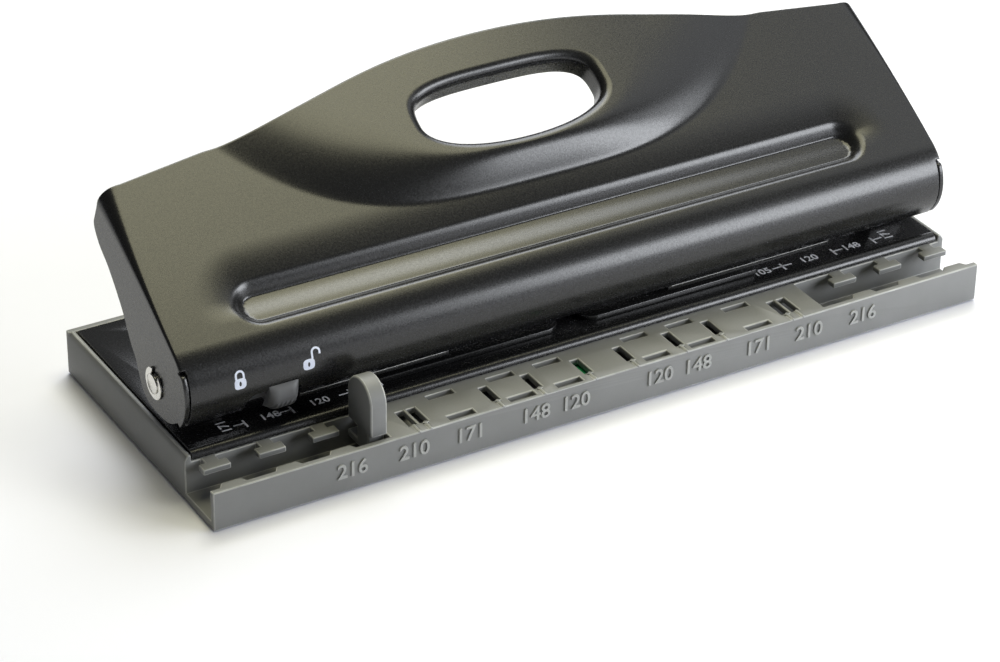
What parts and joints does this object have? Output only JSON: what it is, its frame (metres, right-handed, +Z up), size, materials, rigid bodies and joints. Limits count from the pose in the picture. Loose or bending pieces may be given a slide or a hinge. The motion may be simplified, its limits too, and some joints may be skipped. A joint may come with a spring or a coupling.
{
  "type": "hole punch",
  "caption": "Adjustable planner hole punch: rocking steel handle over two sliding heads of punch pins, a lock slider, a sliding paper guide and a lift-off chip tray.",
  "frame": {"origin": "centre of the tray's footprint, on the surface the punch stands on", "axes": "+X right along the punch, +Y to the back away from the user, +Z up"},
  "size_m": [0.215, 0.08, 0.0721],
  "materials": {
    "black_enamel": "satin black enamel on pressed steel",
    "grey_plastic": "moulded grey plastic, fine texture",
    "dark_plastic": "moulded charcoal plastic",
    "green_plastic": "bright green plastic",
    "bare_steel": "zinc plated",
    "bright_steel": "ground bright steel",
    "rubber": "matte black rubber"
  },
  "bodies": {
    "tray": {"tray": "grey_plastic", "rubber_feet": "rubber"},
    "guide": {"paper_guide": "grey_plastic", "guide_flag": "green_plastic"},
    "frame": {"base_plate": "black_enamel", "ear_left": "black_enamel", "ear_right": "black_enamel", "front_guide": "black_enamel", "rear_rail": "bare_steel", "frame_rivets": "bare_steel", "pivot_shaft": "bright_steel", "shaft_clips": "bright_steel"},
    "handle": {"handle_shell": "black_enamel", "press_bar": "bare_steel"},
    "lock": {"lock_slider": "dark_plastic"},
    "head_left": {"die_plate_left": "black_enamel", "head_bracket_left": "black_enamel", "head_rivets_left": "bare_steel", "pin_spring_left_1": "bright_steel", "pin_spring_left_2": "bright_steel", "pin_spring_left_3": "bright_steel"},
    "head_right": {"die_plate_right": "black_enamel", "head_bracket_right": "black_enamel", "head_rivets_right": "bare_steel", "pin_spring_right_1": "bright_steel", "pin_spring_right_2": "bright_steel", "pin_spring_right_3": "bright_steel"},
    "pins_left": {"pin_left_1": "bright_steel", "pin_left_2": "bright_steel", "pin_left_3": "bright_steel", "pin_clips_left": "bare_steel"},
    "pins_right": {"pin_right_1": "bright_steel", "pin_right_2": "bright_steel", "pin_right_3": "bright_steel", "pin_clips_right": "bare_steel"}
  },
  "joints": [
    {"name": "tray_release", "type": "slide", "parent": "tray", "child": "frame", "axis": [0, 0, 1], "range_m": [0, 0.03]},
    {"name": "guide_slide", "type": "slide", "parent": "tray", "child": "guide", "axis": [-1, 0, 0], "range_m": [0, 0.048]},
    {"name": "handle_press", "type": "hinge", "parent": "frame", "child": "handle", "pos_m": [0, -0.009, 0.023], "axis": [1, 0, 0], "range_deg": [-22, 0], "stiffness_Nm_per_rad": 0.8, "springref_deg": 28.65},
    {"name": "lock_slide", "type": "slide", "parent": "handle", "child": "lock", "axis": [-1, 0, 0], "range_m": [0, 0.005]},
    {"name": "head_left_slide", "type": "slide", "parent": "frame", "child": "head_left", "axis": [-1, 0, 0], "range_m": [0, 0.0255]},
    {"name": "head_right_slide", "type": "slide", "parent": "frame", "child": "head_right", "axis": [1, 0, 0], "range_m": [0, 0.0255]},
    {"name": "pins_left_press", "type": "slide", "parent": "head_left", "child": "pins_left", "axis": [0, 0, 1], "range_m": [-0.006, 0], "deforming": ["pin_spring_left_1", "pin_spring_left_2", "pin_spring_left_3"]},
    {"name": "pins_right_press", "type": "slide", "parent": "head_right", "child": "pins_right", "axis": [0, 0, 1], "range_m": [-0.006, 0], "deforming": ["pin_spring_right_1", "pin_spring_right_2", "pin_spring_right_3"]}
  ],
  "couplings": [
    {"joint": "pins_left_press", "follows": "handle_press", "m_per_rad": 0.01537},
    {"joint": "pins_right_press", "follows": "handle_press", "m_per_rad": 0.01537}
  ]
}
